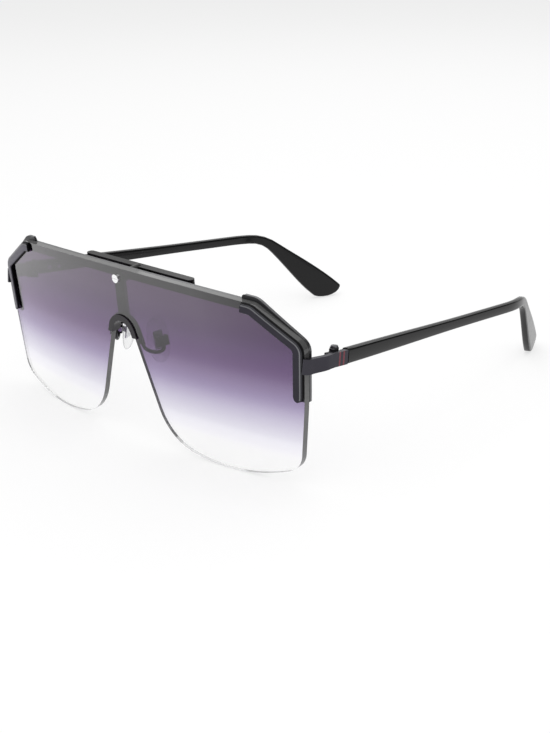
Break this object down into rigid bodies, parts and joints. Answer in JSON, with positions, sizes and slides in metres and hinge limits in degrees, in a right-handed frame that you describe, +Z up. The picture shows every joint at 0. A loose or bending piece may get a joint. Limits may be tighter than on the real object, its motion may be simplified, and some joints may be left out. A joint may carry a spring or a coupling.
{
  "type": "shield sunglasses",
  "caption": "Oversized shield sunglasses with one bent tinted lens, corner trims, rocking nose pads and folding temples that flare at the tips.",
  "frame": {"origin": "centre of the bottom of the whole part's box, on the surface it rests on with its temples open", "axes": "+X to the side of the lens that the picture shows nearer, +Y from the lens back to the temple tips, +Z up"},
  "size_m": [0.1466, 0.1634, 0.0584],
  "materials": {
    "lens": "polished, graded violet grey tint",
    "rear_metal": "satin",
    "trim_metal": "satin dark plating",
    "clip_plastic": "gloss",
    "bar_lacquer": "gloss lacquer",
    "screw_steel": "polished",
    "small_screws": "polished",
    "strap_metal": "satin dark plating",
    "inlay_enamel": "enamel",
    "arm_metal": "satin",
    "core_metal": "satin",
    "pad_silicone": "clear satin",
    "hinge_metal": "satin",
    "temple_plastic": "gloss"
  },
  "bodies": {
    "front": {"shield_lens": "lens", "rear_frame": "rear_metal", "front_trim_right": "trim_metal", "front_trim_left": "trim_metal", "nose_clip": "clip_plastic", "brow_bar": "bar_lacquer", "bridge_screw": "screw_steel", "trim_screws_right": "small_screws", "trim_screws_left": "small_screws", "endpiece_right": "strap_metal", "endpiece_left": "strap_metal", "endpiece_inlay_right": "inlay_enamel", "endpiece_inlay_left": "inlay_enamel", "pad_arm_right": "arm_metal", "pad_arm_left": "arm_metal", "pad_screw_right": "small_screws", "pad_screw_left": "small_screws", "hinge_front_right": "hinge_metal", "hinge_front_left": "hinge_metal", "hinge_screw_right": "small_screws", "hinge_screw_left": "small_screws"},
    "temple_right": {"hinge_rear_right": "hinge_metal", "temple_right": "temple_plastic", "temple_core_right": "core_metal", "temple_screws_right": "small_screws"},
    "temple_left": {"hinge_rear_left": "hinge_metal", "temple_left": "temple_plastic", "temple_core_left": "core_metal", "temple_screws_left": "small_screws"},
    "pad_right": {"pad_core_right": "core_metal", "nose_pad_right": "pad_silicone"},
    "pad_left": {"pad_core_left": "core_metal", "nose_pad_left": "pad_silicone"}
  },
  "joints": [
    {"name": "temple_fold_right", "type": "hinge", "parent": "front", "child": "temple_right", "pos_m": [0.0703, -0.05942, 0.03957], "axis": [-0.0314, 0.1015, 0.9943], "range_deg": [0, 80]},
    {"name": "temple_fold_left", "type": "hinge", "parent": "front", "child": "temple_left", "pos_m": [-0.0703, -0.05942, 0.03957], "axis": [0.0314, -0.1015, -0.9943], "range_deg": [0, 80]},
    {"name": "pad_rock_right", "type": "hinge", "parent": "front", "child": "pad_right", "pos_m": [0.00954, -0.07143, 0.03416], "axis": [0.309, 0.9485, 0.0692], "range_deg": [-10, 10]},
    {"name": "pad_rock_left", "type": "hinge", "parent": "front", "child": "pad_left", "pos_m": [-0.00954, -0.07143, 0.03416], "axis": [-0.309, 0.9485, 0.0692], "range_deg": [-10, 10]}
  ]
}
